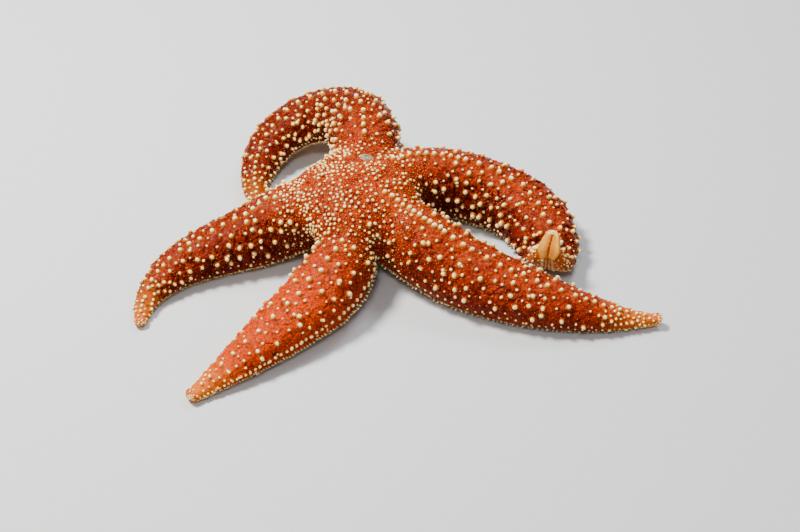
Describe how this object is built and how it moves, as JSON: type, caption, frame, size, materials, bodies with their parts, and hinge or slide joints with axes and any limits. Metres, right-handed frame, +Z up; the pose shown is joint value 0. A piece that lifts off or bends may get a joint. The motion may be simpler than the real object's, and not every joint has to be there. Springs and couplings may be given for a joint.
{
  "type": "starfish",
  "caption": "Life-size mottled sea star at rest: small disc, long tapering arms studded with pale blunt spines, one arm looped back and one arm tip curled up to show its sole.",
  "frame": {"origin": "under the middle of the bounding box, on the level plane that the soles of the arms rest on", "axes": "+Z up, away from the mouth side; +X towards the tip of the arm that reaches out to the right; -Y towards the side that the front arm points to"},
  "size_m": [0.233, 0.1948, 0.042],
  "materials": {
    "skin": "wet, glossy orange-red skin with brown and purple-grey mottling",
    "calcite": "cream-white rounded limy spines and plates, satin and wet",
    "sieve_plate": "grey-yellow, finely grooved, matt"
  },
  "bodies": {
    "root": {"arm_back_base": "skin", "arm_back_bend": "skin", "arm_back_middle": "skin", "arm_back_tip": "skin", "arm_front_base": "skin", "arm_front_middle": "skin", "arm_front_tip": "skin", "arm_left_base": "skin", "arm_left_middle": "skin", "arm_left_tip": "skin", "arm_right_back_base": "skin", "arm_right_back_middle": "skin", "arm_right_back_tip": "skin", "arm_right_front_base": "skin", "arm_right_front_middle": "skin", "arm_right_front_tip": "skin", "disc": "skin", "eye_plate_back": "calcite", "eye_plate_front": "calcite", "eye_plate_left": "calcite", "eye_plate_right_back": "calcite", "eye_plate_right_front": "calcite", "madreporite": "sieve_plate", "mouth_frame": "calcite"}
  },
  "joints": []
}
